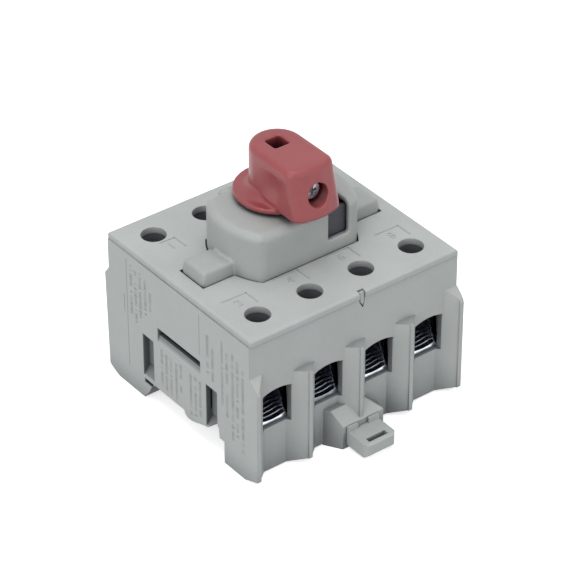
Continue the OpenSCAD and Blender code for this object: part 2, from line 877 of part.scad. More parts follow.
// Rail clip: a slide with a driver slot and rounded corners in front, two ears and a wedge tip
module din_clip() {
    // pulled out by its travel, the tip clears the hook that holds the rail
    tip_at = clip_travel - 0.7 - rail_hook_y;
    corner_r = 1.6;
    arm_w = 1.3;
    arm_gap = 0.8;
    half = clip_w / 2;
    color(housing_grey)
    difference() {
        union() {
            intersection() {
                translate([0, 0, clip_z])
                    linear_extrude(clip_t) {
                        translate([-half, -clip_y + corner_r])
                            square([clip_w, clip_y + tip_at - corner_r]);
                        translate([-half + corner_r, -clip_y])
                            square([clip_w - 2 * corner_r, corner_r + 1]);
                        for (x = [-half + corner_r, half - corner_r])
                            translate([x, -clip_y + corner_r])
                                circle(corner_r, $fn = 48);
                    }
                along_x(-half, half)
                    polygon([[-clip_y, clip_z + 0.6], [-clip_y + 1, clip_z], [tip_at - 1, clip_z],
                             [tip_at, clip_z + 1.4], [tip_at, clip_z + clip_t - 0.8],
                             [tip_at - 0.8, clip_z + clip_t], [-clip_y + 0.5, clip_z + clip_t],
                             [-clip_y, clip_z + clip_t - 0.5]]);
            }
            for (s = [-1, 1])
                translate([s * (half + ear_inner) / 2, 0, 0])
                    box(-clip_ear_w / 2, clip_ear_w / 2, -36, -33, clip_z + clip_t - eps,
                        clip_z + clip_t + clip_ear_h);
        }
        // driver slot
        box(-3.2, 3.2, -clip_y + 1.2, -clip_y + 2.8, clip_z - 1, clip_z + clip_t + 1);
        // slots that free the two bow springs in its sides
        for (s = [-1, 1])
            translate([s * (half - arm_w - arm_gap / 2), 0, 0])
                box(-arm_gap / 2, arm_gap / 2, -31, -20, clip_z - 1, clip_z + clip_t + 1);
    }
}

base_housing();
top_cover();
mechanism_hood();
handle();
handle_screw();
drive_shaft();
index_drum();
snap_spring();
spiral_cam();
mechanism_frame();
contact_carrier();
for (p = [1:4]) {
    moving_bridge(p);
    bridge_spring(p);
}
for (side = ["front", "rear"], p = [1:4]) {
    at_terminal(p, side) fixed_contact(side);
    at_terminal(p, side) terminal_clamp();
    at_terminal(p, side) terminal_screw();
}
din_clip();
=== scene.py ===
import math

import bmesh
import bpy
from mathutils import Matrix, Vector


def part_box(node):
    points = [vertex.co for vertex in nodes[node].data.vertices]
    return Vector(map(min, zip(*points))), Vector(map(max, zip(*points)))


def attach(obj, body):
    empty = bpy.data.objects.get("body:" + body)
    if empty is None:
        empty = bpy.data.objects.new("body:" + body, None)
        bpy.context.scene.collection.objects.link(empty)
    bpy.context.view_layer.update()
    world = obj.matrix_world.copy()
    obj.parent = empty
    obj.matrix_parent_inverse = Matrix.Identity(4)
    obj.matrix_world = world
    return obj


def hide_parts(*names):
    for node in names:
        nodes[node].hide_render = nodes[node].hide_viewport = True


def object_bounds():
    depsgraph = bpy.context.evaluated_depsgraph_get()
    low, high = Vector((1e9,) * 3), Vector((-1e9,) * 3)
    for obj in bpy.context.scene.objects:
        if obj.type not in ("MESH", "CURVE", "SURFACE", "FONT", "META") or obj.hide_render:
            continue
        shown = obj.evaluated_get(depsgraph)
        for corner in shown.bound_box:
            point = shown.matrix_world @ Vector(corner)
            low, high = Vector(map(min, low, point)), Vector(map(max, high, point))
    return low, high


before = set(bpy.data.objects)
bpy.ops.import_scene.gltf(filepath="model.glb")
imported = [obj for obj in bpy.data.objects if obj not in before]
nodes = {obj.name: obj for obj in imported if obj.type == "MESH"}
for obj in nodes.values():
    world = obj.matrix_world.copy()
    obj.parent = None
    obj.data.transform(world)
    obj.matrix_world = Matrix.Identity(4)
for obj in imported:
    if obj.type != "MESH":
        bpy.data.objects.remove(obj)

cad_low, cad_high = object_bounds()


# Camera
# A long lens looks down at the front left corner of the switch, as in the photograph. It adds no tone
# curve, so the colours come out as they are written.
MM = 0.001
scene = bpy.context.scene
look_azimuth = math.radians(-37.609)
look_elevation = math.radians(35.257)
look_distance = 847.85 * MM
aim = Vector((10.09, 10.42, 13.69)) * MM
towards_camera = Vector((math.sin(look_azimuth) * math.cos(look_elevation),
                         -math.cos(look_azimuth) * math.cos(look_elevation),
                         math.sin(look_elevation)))
camera_data = bpy.data.cameras.new("studio_camera")
camera_data.lens = 191.2
camera_data.sensor_width = 36
camera_data.clip_start = 0.05
camera_data.clip_end = 20
camera = bpy.data.objects.new("studio_camera", camera_data)
camera.location = aim + towards_camera * look_distance
camera.rotation_mode = "QUATERNION"
camera.rotation_quaternion = (-towards_camera).to_track_quat("-Z", "Y")
scene.collection.objects.link(camera)
scene.camera = camera
scene.view_settings.view_transform = "Standard"


# Floor and light
# A pale paper sweep lies under three broad soft lamps. The camera sees it white, and only the contact
# shadow of the switch stays on it.
def add_node(tree, kind, settings=None, links=None):
    """Adds one shader node, sets its properties and sockets, and links its inputs."""
    made = tree.nodes.new(kind)
    for name, value in (settings or {}).items():
        if name in made.inputs:
            made.inputs[name].default_value = value
        else:
            setattr(made, name, value)
    for name, source in (links or {}).items():
        tree.links.new(source, made.inputs[name])
    return made


def linear(hex_colour):
    """Turns an sRGB hex colour into the linear values that the shaders take."""
    parts = [int(hex_colour[i:i + 2], 16) / 255 for i in (1, 3, 5)]
    return tuple(c / 12.92 if c <= 0.04045 else ((c + 0.055) / 1.055) ** 2.4 for c in parts) + (1.0,)


def empty_material(name):
    made = bpy.data.materials.new(name)
    made.use_nodes = True
    made.node_tree.nodes.clear()
    return made, made.node_tree


def seen_directly(tree):
    """1 for rays from the camera, mirror reflections and glass, 0 for the light that falls on things."""
    path = add_node(tree, "ShaderNodeLightPath")
    seen = path.outputs["Is Camera Ray"]
    for other in ("Is Glossy Ray", "Is Transmission Ray"):
        either = add_node(tree, "ShaderNodeMath", {"operation": "MAXIMUM"})
        tree.links.new(seen, either.inputs[0])
        tree.links.new(path.outputs[other], either.inputs[1])
        seen = either.outputs[0]
    return seen


world = bpy.data.worlds.new("studio")
world.use_nodes = True
scene.world = world
tree = world.node_tree
tree.nodes.clear()
ambient = add_node(tree, "ShaderNodeBackground", {"Color": linear("#f6f8fa"), "Strength": 0.58})
backdrop = add_node(tree, "ShaderNodeBackground", {"Color": (1, 1, 1, 1), "Strength": 1.0})
either = add_node(tree, "ShaderNodeMixShader")
tree.links.new(seen_directly(tree), either.inputs["Fac"])
tree.links.new(ambient.outputs[0], either.inputs[1])
tree.links.new(backdrop.outputs[0], either.inputs[2])
add_node(tree, "ShaderNodeOutputWorld", links={"Surface": either.outputs[0]})

floor_half = 1.5
floor_z = cad_low.z - 0.05 * MM
floor_mesh = bpy.data.meshes.new("studio_floor")
floor_corners = [(x * floor_half, y * floor_half, floor_z) for x, y in ((-1, -1), (1, -1), (1, 1), (-1, 1))]
floor_mesh.from_pydata(floor_corners, [], [(0, 1, 2, 3)])
floor = bpy.data.objects.new("studio_floor", floor_mesh)
scene.collection.objects.link(floor)
paper, tree = empty_material("white_backdrop_paper")
# matt paper: its fibres are too fine to show, so only a faint unevenness of 25 mm is drawn
coords = add_node(tree, "ShaderNodeTexCoord")
grain = add_node(tree, "ShaderNodeTexNoise", {"Scale": 1 / (25 * MM), "Detail": 3.0},
                 {"Vector": coords.outputs["Object"]})
tone = add_node(tree, "ShaderNodeMix", {"data_type": "RGBA"}, {"Factor": grain.outputs["Fac"]})
tone.inputs["A"].default_value = linear("#f6f6f6")
tone.inputs["B"].default_value = linear("#fbfbfb")
diffuse = add_node(tree, "ShaderNodeBsdfDiffuse", links={"Color": tone.outputs["Result"]})
# the light that the paper throws back on the object is that of a mid grey table
table = add_node(tree, "ShaderNodeBsdfDiffuse", {"Color": linear("#a4a6a8")})
glow = add_node(tree, "ShaderNodeEmission", {"Color": (1, 1, 1, 1), "Strength": 0.6})
lit = add_node(tree, "ShaderNodeAddShader")
tree.links.new(diffuse.outputs[0], lit.inputs[0])
tree.links.new(glow.outputs[0], lit.inputs[1])
seen = add_node(tree, "ShaderNodeMixShader")
tree.links.new(seen_directly(tree), seen.inputs["Fac"])
tree.links.new(table.outputs[0], seen.inputs[1])
tree.links.new(lit.outputs[0], seen.inputs[2])
add_node(tree, "ShaderNodeOutputMaterial", links={"Surface": seen.outputs[0]})
floor_mesh.materials.append(paper)


def softbox(name, place, size, power):
    data = bpy.data.lights.new(name, "AREA")
    data.shape = "SQUARE"
    data.size = size
    data.energy = power
    lamp = bpy.data.objects.new(name, data)
    lamp.location = place
    lamp.rotation_mode = "QUATERNION"
    lamp.rotation_quaternion = (aim - Vector(place)).to_track_quat("-Z", "Y")
    scene.collection.objects.link(lamp)


softbox("key_left", (-0.85, -0.3, 0.5), 0.7, 3.4)
softbox("overhead", (-0.05, 0.0, 1.0), 0.8, 3.5)
softbox("fill_front", (0.2, -0.95, 0.5), 0.8, 1.7)


# Base housing
# The lower body is moulded in light grey glass-filled polyamide from an eroded tool, which leaves a fine
# matt grain, faint cloudy flow marks and slightly rounded edges. It snaps on the rail and holds everything.
def moulded_plastic(name, light, deep, roughness, grain_mm, relief_mm, edge_mm,
                    painted_shade_tone="#34363e", open_at=0.6, reach_mm=9, end_shade=None):
    """A moulded thermoplastic: cloudy, with painted shade in its hollows, soft edges and an eroded grain.
    """
    made, tree = empty_material(name)
    coords = add_node(tree, "ShaderNodeTexCoord")
    # flow marks are about 14 mm across and the specks of the filler 0.9 mm
    cloud = add_node(tree, "ShaderNodeTexNoise", {"Scale": 1 / (14 * MM), "Detail": 4.0, "Roughness": 0.6},
                     {"Vector": coords.outputs["Object"]})
    speck = add_node(tree, "ShaderNodeTexNoise", {"Scale": 1 / (0.9 * MM), "Detail": 2.0, "Roughness": 0.7},
                     {"Vector": coords.outputs["Object"]})
    blend = add_node(tree, "ShaderNodeMath", {"operation": "MULTIPLY_ADD"})
    tree.links.new(speck.outputs["Fac"], blend.inputs[0])
    blend.inputs[1].default_value = 0.35
    tree.links.new(cloud.outputs["Fac"], blend.inputs[2])
    ramp = add_node(tree, "ShaderNodeValToRGB", links={"Fac": blend.outputs[0]})
    ramp.color_ramp.elements[0].position = 0.42
    ramp.color_ramp.elements[0].color = linear(deep)
    ramp.color_ramp.elements[1].position = 0.92
    ramp.color_ramp.elements[1].color = linear(light)
    colour = ramp.outputs["Color"]
    if end_shade:
        # painted shade: the colour is multiplied darker a little inside the end walls and within 18 mm of
        # the middle in Y, which darkens the floors of the pockets sunk in the end walls, as little light
        # reaches them
        place = add_node(tree, "ShaderNodeSeparateXYZ", links={"Vector": coords.outputs["Object"]})
        masks = []
        for axis, edge, inner in (("X", end_shade[0], end_shade[0] - 0.35 * MM),
                                  ("Y", end_shade[1], end_shade[1] - 0.5 * MM)):
            away = add_node(tree, "ShaderNodeMath", {"operation": "ABSOLUTE"})
            tree.links.new(place.outputs[axis], away.inputs[0])
            masks.append(add_node(tree, "ShaderNodeMapRange", {"From Min": edge, "From Max": inner},
                                  {"Value": away.outputs[0]}))
        sunk = add_node(tree, "ShaderNodeMath", {"operation": "MULTIPLY"})
        tree.links.new(masks[0].outputs["Result"], sunk.inputs[0])
        tree.links.new(masks[1].outputs["Result"], sunk.inputs[1])
        painted_pocket_shade = add_node(tree, "ShaderNodeMix", {"data_type": "RGBA", "blend_type": "MULTIPLY"},
                        {"Factor": sunk.outputs[0], "A": colour})
        painted_pocket_shade.inputs["B"].default_value = linear("#b6b8ba")
        colour = painted_pocket_shade.outputs["Result"]
    # painted shade: where ambient occlusion finds the surface enclosed, the colour is multiplied darker, so
    # the gaps look shaded and the chambers behind the wire entries almost dark
    recess = add_node(tree, "ShaderNodeAmbientOcclusion", {"samples": 6, "Distance": reach_mm * MM})
    open_air = add_node(tree, "ShaderNodeMapRange", {"From Min": 0.04, "From Max": open_at,
                                                     "interpolation_type": "SMOOTHERSTEP"},
                        {"Value": recess.outputs["AO"]})
    shaded = add_node(tree, "ShaderNodeMix", {"data_type": "RGBA", "Factor": 1.0, "blend_type": "MULTIPLY"},
                      {"A": colour})
    shaded.inputs["B"].default_value = linear(painted_shade_tone)
    painted_shade_colour = add_node(tree, "ShaderNodeMix", {"data_type": "RGBA"},
                      {"Factor": open_air.outputs["Result"], "A": shaded.outputs["Result"], "B": colour})
    gloss = add_node(tree, "ShaderNodeMapRange",
                     {"From Min": 0.3, "From Max": 0.8,
                      "To Min": roughness - 0.05, "To Max": roughness + 0.07},
                     {"Value": cloud.outputs["Fac"]})
    # the pits of an eroded tool are about 0.05 mm, too fine to show, so grain_mm is coarser
    grain = add_node(tree, "ShaderNodeTexNoise",
                     {"Scale": 1 / (grain_mm * MM), "Detail": 3.0, "Roughness": 0.6},
                     {"Vector": coords.outputs["Object"]})
    soft_edge = add_node(tree, "ShaderNodeBevel", {"samples": 4, "Radius": edge_mm * MM})
    relief = add_node(tree, "ShaderNodeBump", {"Strength": 0.5, "Distance": relief_mm * MM},
                      {"Height": grain.outputs["Fac"], "Normal": soft_edge.outputs["Normal"]})
    surface = add_node(tree, "ShaderNodeBsdfPrincipled", {"IOR": 1.5},
                       {"Base Color": painted_shade_colour.outputs["Result"], "Roughness": gloss.outputs["Result"],
                        "Normal": relief.outputs["Normal"]})
    add_node(tree, "ShaderNodeOutputMaterial", links={"Surface": surface.outputs[0]})
    return made


def new_piece(name, mesh, material, body, smooth=False):
    """Turns a bmesh into an object with one material that rides on a body."""
    data = bpy.data.meshes.new(name)
    bmesh.ops.recalc_face_normals(mesh, faces=mesh.faces)
    for face in mesh.faces:
        face.smooth = smooth
    mesh.to_mesh(data)
    mesh.free()
    made = bpy.data.objects.new(name, data)
    scene.collection.objects.link(made)
    data.materials.append(material)
    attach(made, body)
    return made


body_half_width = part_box("base_housing")[1].x
# painted shade: the housing's colour darkens strongly in its hollows, within 14 mm of enclosing walls, and
# more in the pockets of its end walls
housing_polyamide = moulded_plastic("housing_polyamide_eroded", "#babebc", "#b0b4b2", 0.55, 0.35, 0.015,
                                    0.35, painted_shade_tone="#76787e", open_at=0.93, reach_mm=14,
                                    end_shade=(body_half_width - 0.08 * MM, 18 * MM))
poles = 4
pole_pitch = 17.15 * MM


def pole_x(p):
    return (p - (poles + 1) / 2) * pole_pitch


def clear_away(block):
    data = block.data
    bpy.data.objects.remove(block)
    bpy.data.meshes.remove(data)


def shape_of(block):
    """Takes the finished mesh out of a working object and clears the object away."""
    finished = bpy.data.meshes.new_from_object(block.evaluated_get(bpy.context.evaluated_depsgraph_get()))
    shape = bmesh.new()
    shape.from_mesh(finished)
    bpy.data.meshes.remove(finished)
    clear_away(block)
    return shape


def clean_copy(node):
    """The node's mesh as a new object, with its doubled vertices merged."""
    data = nodes[node].data.copy()
    shape = bmesh.new()
    shape.from_mesh(data)
    bmesh.ops.remove_doubles(shape, verts=shape.verts, dist=0.001 * MM)
    shape.to_mesh(data)
    shape.free()
    made = bpy.data.objects.new(node + "_copy", data)
    scene.collection.objects.link(made)
    return made


# the tool leaves each wire entry as wide as the chamber behind it, under the arch
entry_half = 4.7 * MM
entry_sill = 7.9 * MM
arch_radius = 12 * MM
arch_centre = 8.8 * MM
arch_steps = 12
wall_back = 29.4 * MM
wall_front = 36 * MM
cutter = bmesh.new()
for p in range(1, poles + 1):
    for side in (-1, 1):
        outline = [(-entry_half, entry_sill), (entry_half, entry_sill)]
        for i in range(arch_steps + 1):
            x = entry_half * (1 - 2 * i / arch_steps)
            outline.append((x, arch_centre + math.sqrt(arch_radius ** 2 - x ** 2)))
        rings = [[cutter.verts.new((pole_x(p) + x, side * y, z)) for x, z in outline]
                 for y in (wall_back, wall_front)]
        cutter.faces.new(rings[0])
        cutter.faces.new(rings[1][::-1])
        for i in range(len(outline)):
            j = (i + 1) % len(outline)
            cutter.faces.new((rings[0][j], rings[0][i], rings[1][i], rings[1][j]))
bmesh.ops.recalc_face_normals(cutter, faces=cutter.faces)
cutter_data = bpy.data.meshes.new("entry_cutter")
cutter.to_mesh(cutter_data)
cutter.free()
cutter_block = bpy.data.objects.new("entry_cutter", cutter_data)
scene.collection.objects.link(cutter_block)
block = clean_copy("base_housing")
cut = block.modifiers.new("entries", "BOOLEAN")
cut.operation = "DIFFERENCE"
cut.solver = "EXACT"
cut.object = cutter_block
housing_piece = new_piece("housing_wide_entries", shape_of(block), housing_polyamide,
                          "housing")
clear_away(cutter_block)
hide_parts("base_housing")


# Pocket floors
# A small panel of the same moulding closes each pocket of the end walls at its floor, in front of the arc
# chambers behind. It takes the painted shade of the pockets, so it is a darkened sheet that stands for the
# shade deep in them. It is slightly dished, as thin walls are once they have cooled.
def add_dish(mesh, x, side, y_low, y_high, z_low, z_high):
    """Adds a dished panel that faces away from the body."""
    steps = 6
    depth = 0.15 * MM
    thickness = 0.5 * MM
    grid = []
    for i in range(steps + 1):
        row = []
        for j in range(steps + 1):
            u, v = i / steps, j / steps
            dip = depth * math.sin(math.pi * u) * math.sin(math.pi * v)
            row.append(mesh.verts.new((x - side * dip, y_low + (y_high - y_low) * u,
                                       z_low + (z_high - z_low) * v)))
        grid.append(row)
    front = [mesh.faces.new((grid[i][j], grid[i + 1][j], grid[i + 1][j + 1], grid[i][j + 1]))
             for i in range(steps) for j in range(steps)]
    back = bmesh.ops.extrude_face_region(mesh, geom=front)
    for part in back["geom"]:
        if isinstance(part, bmesh.types.BMVert):
            part.co.x -= side * thickness


pocket_floor_x = 32.95 * MM
pocket_low = 4.0 * MM
pocket_high = 14.9 * MM
pocket_floors = bmesh.new()
for side in (-1, 1):
    for y_low, y_high in ((11.3 * MM, 16.5 * MM), (-17.5 * MM, -12.3 * MM)):
        add_dish(pocket_floors, side * pocket_floor_x, side, y_low, y_high, pocket_low, pocket_high)
new_piece("pocket_floors", pocket_floors, housing_polyamide, "housing")


# Cover and rail clip
# The cover snaps on the body and the clip slides in its channel. Both are moulded in the same grey
# polyamide from eroded tools. The driver holes are short, so light still falls in them.
def finish_node(name, material):
    nodes[name].data.materials.clear()
    nodes[name].data.materials.append(material)


# painted shade in the hollows of cover and clip is only a light grey
grey_polyamide = moulded_plastic("grey_polyamide_eroded", "#b8bcba", "#adb1af", 0.55, 0.35, 0.015, 0.35,
                                 painted_shade_tone="#8e9094")
for name in ("top_cover", "din_clip"):
    finish_node(name, grey_polyamide)


# Cover latch
# The latch is one moulding with the cover. Its nose stands in the notch of the front wall, a little
# behind the face, where a screwdriver lifts it.
# corners in X and Z, in mm
latch_outline = [(1.25, 39.3), (2.95, 39.3), (2.8, 36.15), (2.57, 34.9), (1.62, 36.15)]
latch_front_y = -31.75 * MM
latch_back_y = -30.9 * MM
latch = bmesh.new()
latch_face = [latch.verts.new((x * MM, latch_front_y, z * MM)) for x, z in latch_outline]
latch_back = [latch.verts.new((x * MM, latch_back_y, z * MM)) for x, z in latch_outline]
latch.faces.new(latch_face)
latch.faces.new(latch_back[::-1])
for i in range(len(latch_outline)):
    j = (i + 1) % len(latch_outline)
    latch.faces.new((latch_face[j], latch_face[i], latch_back[i], latch_back[j]))
bmesh.ops.bevel(latch, geom=latch.edges[:], offset=0.12 * MM, segments=2, affect="EDGES")
new_piece("cover_latch", latch, grey_polyamide, "housing")


# Neck and ears
# The neck is moulded in the same grey polyamide as the cover. Its flat front runs into the round ends
# over soft corners, and the ears are rounded blocks, so the upper edges are softened all round.
def softened_copy(node, voxel, passes):
    """The node's shape remeshed finely and smoothed, which rounds its edges as a tool cutter does."""
    block = clean_copy(node)
    remesh = block.modifiers.new("remesh", "REMESH")
    remesh.mode = "VOXEL"
    remesh.voxel_size = voxel
    made = shape_of(block)
    for _ in range(passes):
        bmesh.ops.smooth_vert(made, verts=made.verts, factor=0.5,
                              use_axis_x=True, use_axis_y=True, use_axis_z=True)
    return made


cover_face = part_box("top_cover")[1].z
neck_radius = 20.2 * MM
neck_half_width = 12.5 * MM
neck_corner = 3.4 * MM
neck = softened_copy("mechanism_hood", 0.3 * MM, 5)
corner_y = neck_half_width - neck_corner
corner_x = math.sqrt((neck_radius - neck_corner) ** 2 - corner_y ** 2)
for vertex in neck.verts:
    x, y, z = vertex.co
    if z < cover_face - 0.3 * MM or abs(x) < corner_x or abs(y) < corner_y or abs(x) > neck_radius:
        continue
    from_corner = Vector((abs(x) - corner_x, abs(y) - corner_y))
    if from_corner.length > neck_corner and abs(y) > abs(x) * corner_y / corner_x:
        from_corner *= neck_corner / from_corner.length
        vertex.co.x = math.copysign(corner_x + from_corner.x, x)
        vertex.co.y = math.copysign(corner_y + from_corner.y, y)
# the ends and the rear of the ears are set more upright
ear_height = 4 * MM
ear_root = 19.9 * MM
ear_middle = 23 * MM
end_shift = 1.1 * MM
end_blend = 4 * MM
rear_start = 1 * MM
rear_shift = 1.5 * MM
rear_blend = 2 * MM
for vertex in neck.verts:
    x, y, z = vertex.co
    upward = (z - cover_face) / ear_height
    if not 0 < upward < 1.1:
        continue
    if abs(x) > ear_middle:
        outward = min(1.0, (abs(x) - ear_middle) / end_blend)
        vertex.co.x += math.copysign(end_shift * upward * outward, x)
    if abs(x) > ear_root and y > rear_start:
        rearward = min(1.0, (y - rear_start) / rear_blend) * min(1.0, (abs(x) - ear_root) / MM)
        vertex.co.y += rear_shift * upward * rearward
# painted shade: the neck shares the cover's polyamide but is set a darker grey, for the shade on its walls,
# and its hollows take a dark painted shade
shaded_neck_polyamide = moulded_plastic("neck_polyamide_eroded", "#acb0ae", "#a2a6a4", 0.55, 0.35, 0.012, 0.2,
                                 painted_shade_tone="#505259", open_at=0.7)
neck_piece = new_piece("neck_softened", neck, shaded_neck_polyamide, "housing", smooth=True)
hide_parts("mechanism_hood")


# Turning grip
# The grip and its base flange are one moulding in red polyamide with a satin face. Its upper edges are
# rounded over and a shallow valley for the thumb runs down each flank.
# the grip's hollows take a dark red painted shade
red_polyamide = moulded_plastic("red_polyamide_satin", "#9e4b4e", "#904144", 0.36, 0.5, 0.006, 0.3,
                                painted_shade_tone="#5c3038")
grip = softened_copy("handle", 0.3 * MM, 4)
grip_low, grip_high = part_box("handle")
valley_depth = 0.9 * MM
valley_half_width = 4.2 * MM
valley_y = -4.5 * MM
valley_lean = 3 * MM
valley_foot = 3 * MM
valley_top = 2 * MM
flank_x = 5.5 * MM
flank_front = -17 * MM
flank_rear = 6 * MM
for vertex in grip.verts:
    x, y, z = vertex.co
    level = (z - grip_low.z - valley_foot) / (grip_high.z - grip_low.z - valley_foot - valley_top)
    if abs(x) > flank_x and 0 < level < 1 and flank_front < y < flank_rear:
        along = math.exp(-((y - valley_y + level * valley_lean) / valley_half_width) ** 2)
        upward = math.sin(math.pi * min(1.0, level * 1.15))
        vertex.co.x -= math.copysign(valley_depth * along * upward, x)
grip_piece = new_piece("grip_softened", grip, red_polyamide, "actuator", smooth=True)
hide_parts("handle")


# Dark mouldings inside
# The frame, drum, cam and contact slide are moulded in black glass-filled polyamide. The drum shows as
# a dark field in the locking slot of the neck.
# the hollows of the dark mouldings take the darkest painted shade, the default one
black_polyamide = moulded_plastic("black_polyamide_inner", "#4a4a51", "#3f3f46", 0.45, 0.35, 0.01, 0.2)
for name in ("mechanism_frame", "index_drum", "spiral_cam", "contact_carrier"):
    finish_node(name, black_polyamide)


# Clamp screws and shaft
# Both are turned or drawn steel, zinc plated and passivated clear. Turning leaves fine streaks, and the
# plating has a faint blue cast. The clamp cages further down have the same finish.
def bare_metal(name, light, deep, roughness, streak_mm, relief_mm, painted_dark_reflection="#5a5d6a"):
    """A bright metal with fine streaks, an uneven plating, slightly rounded edges and a painted dark
    reflection deep in the body.
    """
    made, tree = empty_material(name)
    coords = add_node(tree, "ShaderNodeTexCoord")
    stretch = add_node(tree, "ShaderNodeMapping", {"Scale": (1.0, 1.0, 6.0)},
                       {"Vector": coords.outputs["Object"]})
    # tool marks are about 0.05 mm apart, too fine to show, so streak_mm is coarser
    streak = add_node(tree, "ShaderNodeTexNoise",
                      {"Scale": 1 / (streak_mm * MM), "Detail": 3.0, "Roughness": 0.6},
                      {"Vector": stretch.outputs["Vector"]})
    bloom = add_node(tree, "ShaderNodeTexNoise", {"Scale": 1 / (3 * MM), "Detail": 2.0},
                     {"Vector": coords.outputs["Object"]})
    ramp = add_node(tree, "ShaderNodeValToRGB", links={"Fac": bloom.outputs["Fac"]})
    ramp.color_ramp.elements[0].position = 0.35
    ramp.color_ramp.elements[0].color = linear(deep)
    ramp.color_ramp.elements[1].position = 0.7
    ramp.color_ramp.elements[1].color = linear(light)
    # painted reflection and shade: deep in the body the base colour is turned to a dark blue grey, for the
    # dark walls that the metal mirrors there
    recess = add_node(tree, "ShaderNodeAmbientOcclusion", {"samples": 6, "Distance": 12 * MM})
    open_air = add_node(tree, "ShaderNodeMapRange", {"From Min": 0.02, "From Max": 0.34},
                        {"Value": recess.outputs["AO"]})
    sunk = add_node(tree, "ShaderNodeMix", {"data_type": "RGBA"},
                    {"Factor": open_air.outputs["Result"], "B": ramp.outputs["Color"]})
    sunk.inputs["A"].default_value = linear(painted_dark_reflection)
    gloss = add_node(tree, "ShaderNodeMapRange",
                     {"From Min": 0.3, "From Max": 0.7,
                      "To Min": roughness - 0.05, "To Max": roughness + 0.08},
                     {"Value": streak.outputs["Fac"]})
    soft_edge = add_node(tree, "ShaderNodeBevel", {"samples": 4, "Radius": 0.12 * MM})
    relief = add_node(tree, "ShaderNodeBump", {"Strength": 0.4, "Distance": relief_mm * MM},
                      {"Height": streak.outputs["Fac"], "Normal": soft_edge.outputs["Normal"]})
    surface = add_node(tree, "ShaderNodeBsdfPrincipled", {"Metallic": 1.0},
                       {"Base Color": sunk.outputs["Result"], "Roughness": gloss.outputs["Result"],
                        "Normal": relief.outputs["Normal"]})
    add_node(tree, "ShaderNodeOutputMaterial", links={"Surface": surface.outputs[0]})
    return made


# deep in the body the plated steel shows a dark painted reflection
zinc_steel = bare_metal("zinc_plated_steel", "#e6ebf2", "#c9d1dc", 0.2, 0.3, 0.004)
for name in nodes:
    if name.startswith("terminal_screw") or name == "drive_shaft":
        finish_node(name, zinc_steel)


# Clamp cages
# Each cage is bent from one strip of plated steel. Its sides slope back from the jaw to the top, so the
# conductor finds its way in, and the jaw is only slightly hollow, with rolled grooves across it.
jaw_level = 9.4 * MM
jaw_middle = 9.1 * MM
jaw_flattening = 0.5
jaw_reach = 1.5 * MM
cage_sole = 0.5 * MM
side_foot = 2.5 * MM
side_setback = 4.5 * MM
for place in ("front", "rear"):
    outward = -1 if place == "front" else 1
    for p in range(1, poles + 1):
        name = "terminal_clamp_%s_%d" % (place, p)
        cage_low, cage_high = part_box(name)
        mouth = cage_low.y if outward < 0 else cage_high.y
        cage = shape_of(clean_copy(name))
        for vertex in cage.verts:
            if abs(vertex.co.y - mouth) < 0.05 * MM and vertex.co.z > jaw_level + side_foot:
                vertex.co.y -= outward * side_setback
            elif cage_low.z + cage_sole < vertex.co.z < jaw_level + jaw_reach:
                vertex.co.z = jaw_middle + (vertex.co.z - jaw_middle) * jaw_flattening
        cage_piece = new_piece("clamp_cage_%s_%d" % (place, p), cage, zinc_steel,
                               "clamp_%s_%d" % (place, p))
        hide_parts(name)


# Grip screw
# The cross-recess screw that holds the grip on its shaft is cold-headed steel with the same plating. It
# sits in the nose of the grip near the light, so its colours are painted light: a little brighter than
# those of the screws inside, and its painted dark reflection is only a light grey.
screw_steel_painted_light = bare_metal("bright_screw_steel", "#eef2f6", "#d6dde4", 0.25, 0.3, 0.003, painted_dark_reflection="#a3a8b0")
finish_node("handle_screw", screw_steel_painted_light)


# Spring wire
# The snap spring and the contact springs are wound from drawn steel wire. The wire is left bare and
# lightly oiled, so it is a darker grey than the plated steel.
spring_steel = bare_metal("drawn_spring_steel", "#a9abb0", "#8f9197", 0.3, 0.2, 0.003)
for name in nodes:
    if name == "snap_spring" or name.startswith("bridge_spring"):
        finish_node(name, spring_steel)


# Contact copper
# The strips from the clamps and the bridges on the slide are stamped from half-hard copper. The air
# dulls it in patches to a brownish pink.
contact_copper = bare_metal("stamped_copper", "#d79a76", "#b87e5e", 0.3, 0.4, 0.004)
for name in nodes:
    if name.startswith(("moving_bridge", "fixed_contact")):
        finish_node(name, contact_copper)


# Marks on the cover
# Raised line marks and plain terminal numbers stand beside each screwdriver hole. They are cut into the
# tool of the cover, so they come out in the same grey, 0.12 mm high.
mark_height = 0.12 * MM
line_width = 0.28 * MM


def add_bar(mesh, start, end, width, low, high):
    """Adds a flat bar from start to end in plan."""
    along = Vector((end[0] - start[0], end[1] - start[1])).normalized()
    side = Vector((-along.y, along.x)) * width / 2
    along = along * width / 2
    corners = [(start[0] - along.x + side.x, start[1] - along.y + side.y),
               (start[0] - along.x - side.x, start[1] - along.y - side.y),
               (end[0] + along.x - side.x, end[1] + along.y - side.y),
               (end[0] + along.x + side.x, end[1] + along.y + side.y)]
    ring = [mesh.verts.new((x, y, z)) for z in (low, high) for x, y in corners]
    mesh.faces.new(ring[3::-1])
    mesh.faces.new(ring[4:])
    for i in range(4):
        j = (i + 1) % 4
        mesh.faces.new((ring[i], ring[j], ring[4 + j], ring[4 + i]))


